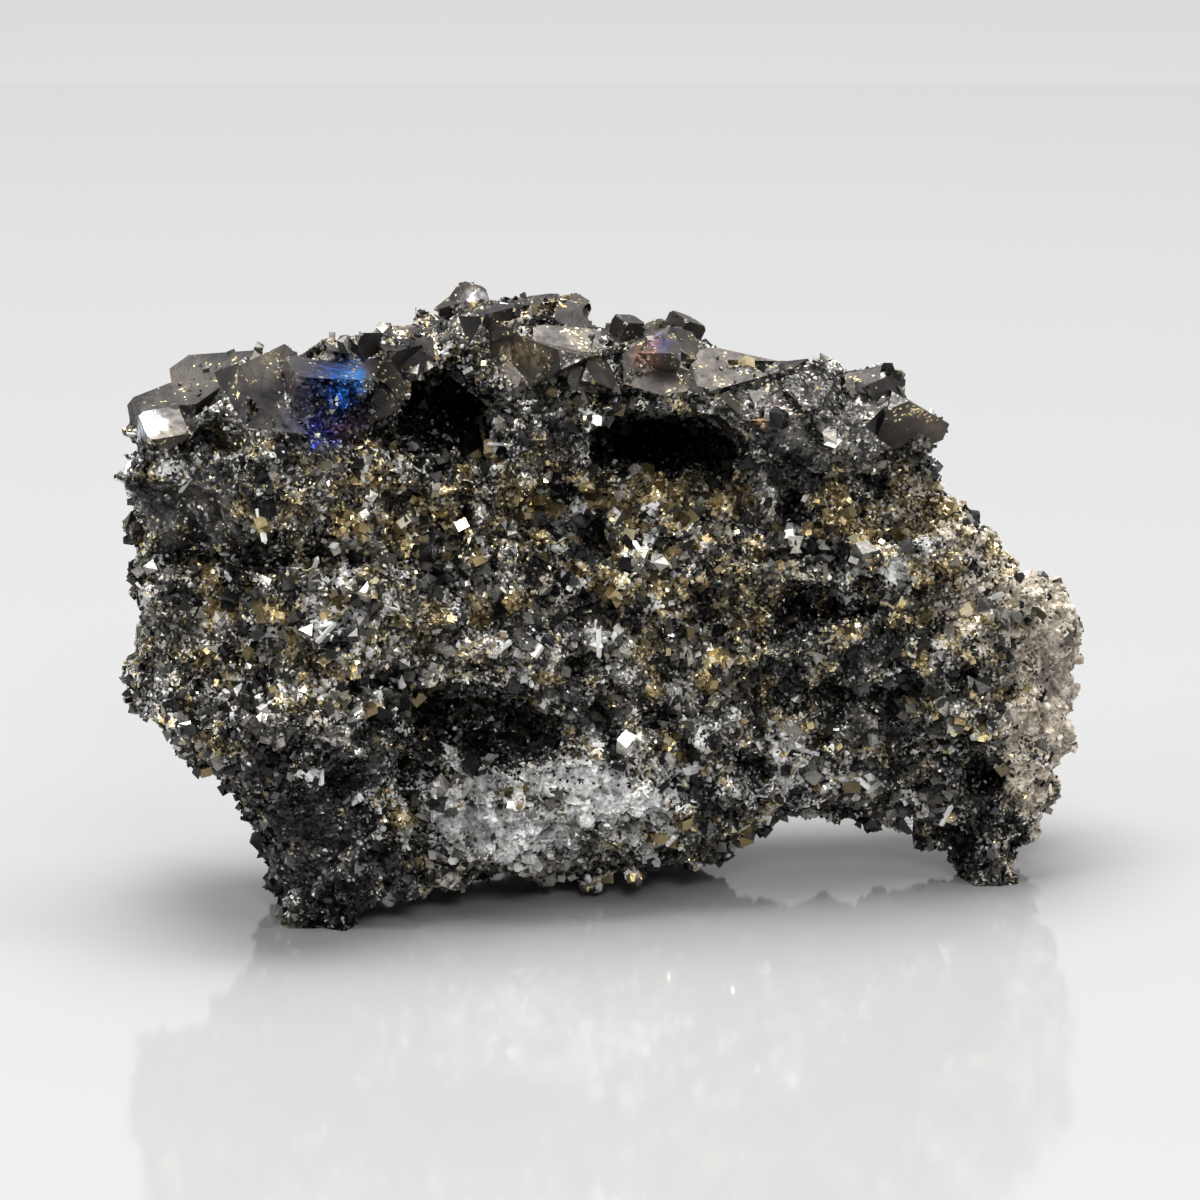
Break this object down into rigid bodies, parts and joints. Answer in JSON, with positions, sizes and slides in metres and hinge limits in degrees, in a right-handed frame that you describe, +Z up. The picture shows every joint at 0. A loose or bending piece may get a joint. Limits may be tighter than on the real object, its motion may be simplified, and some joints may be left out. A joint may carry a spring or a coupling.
{
  "type": "tetrahedrite cluster",
  "caption": "Rugged cluster of dark metallic tetrahedrite crystals grown together with golden pyrite and white quartz, resting on small flat spots.",
  "frame": {"origin": "middle of the bounding box in X and Y, on the ground plane under the feet", "axes": "+X to the right along the specimen's long side seen from the front face, +Y from the front face to the back, +Z up"},
  "size_m": [0.052, 0.0296, 0.0329],
  "materials": {
    "tetrahedrite": "metallic dark grey to black crystals, with brassy, white and tarnished patches"
  },
  "bodies": {
    "root": {"tetrahedrite_cluster": "tetrahedrite"}
  },
  "joints": []
}
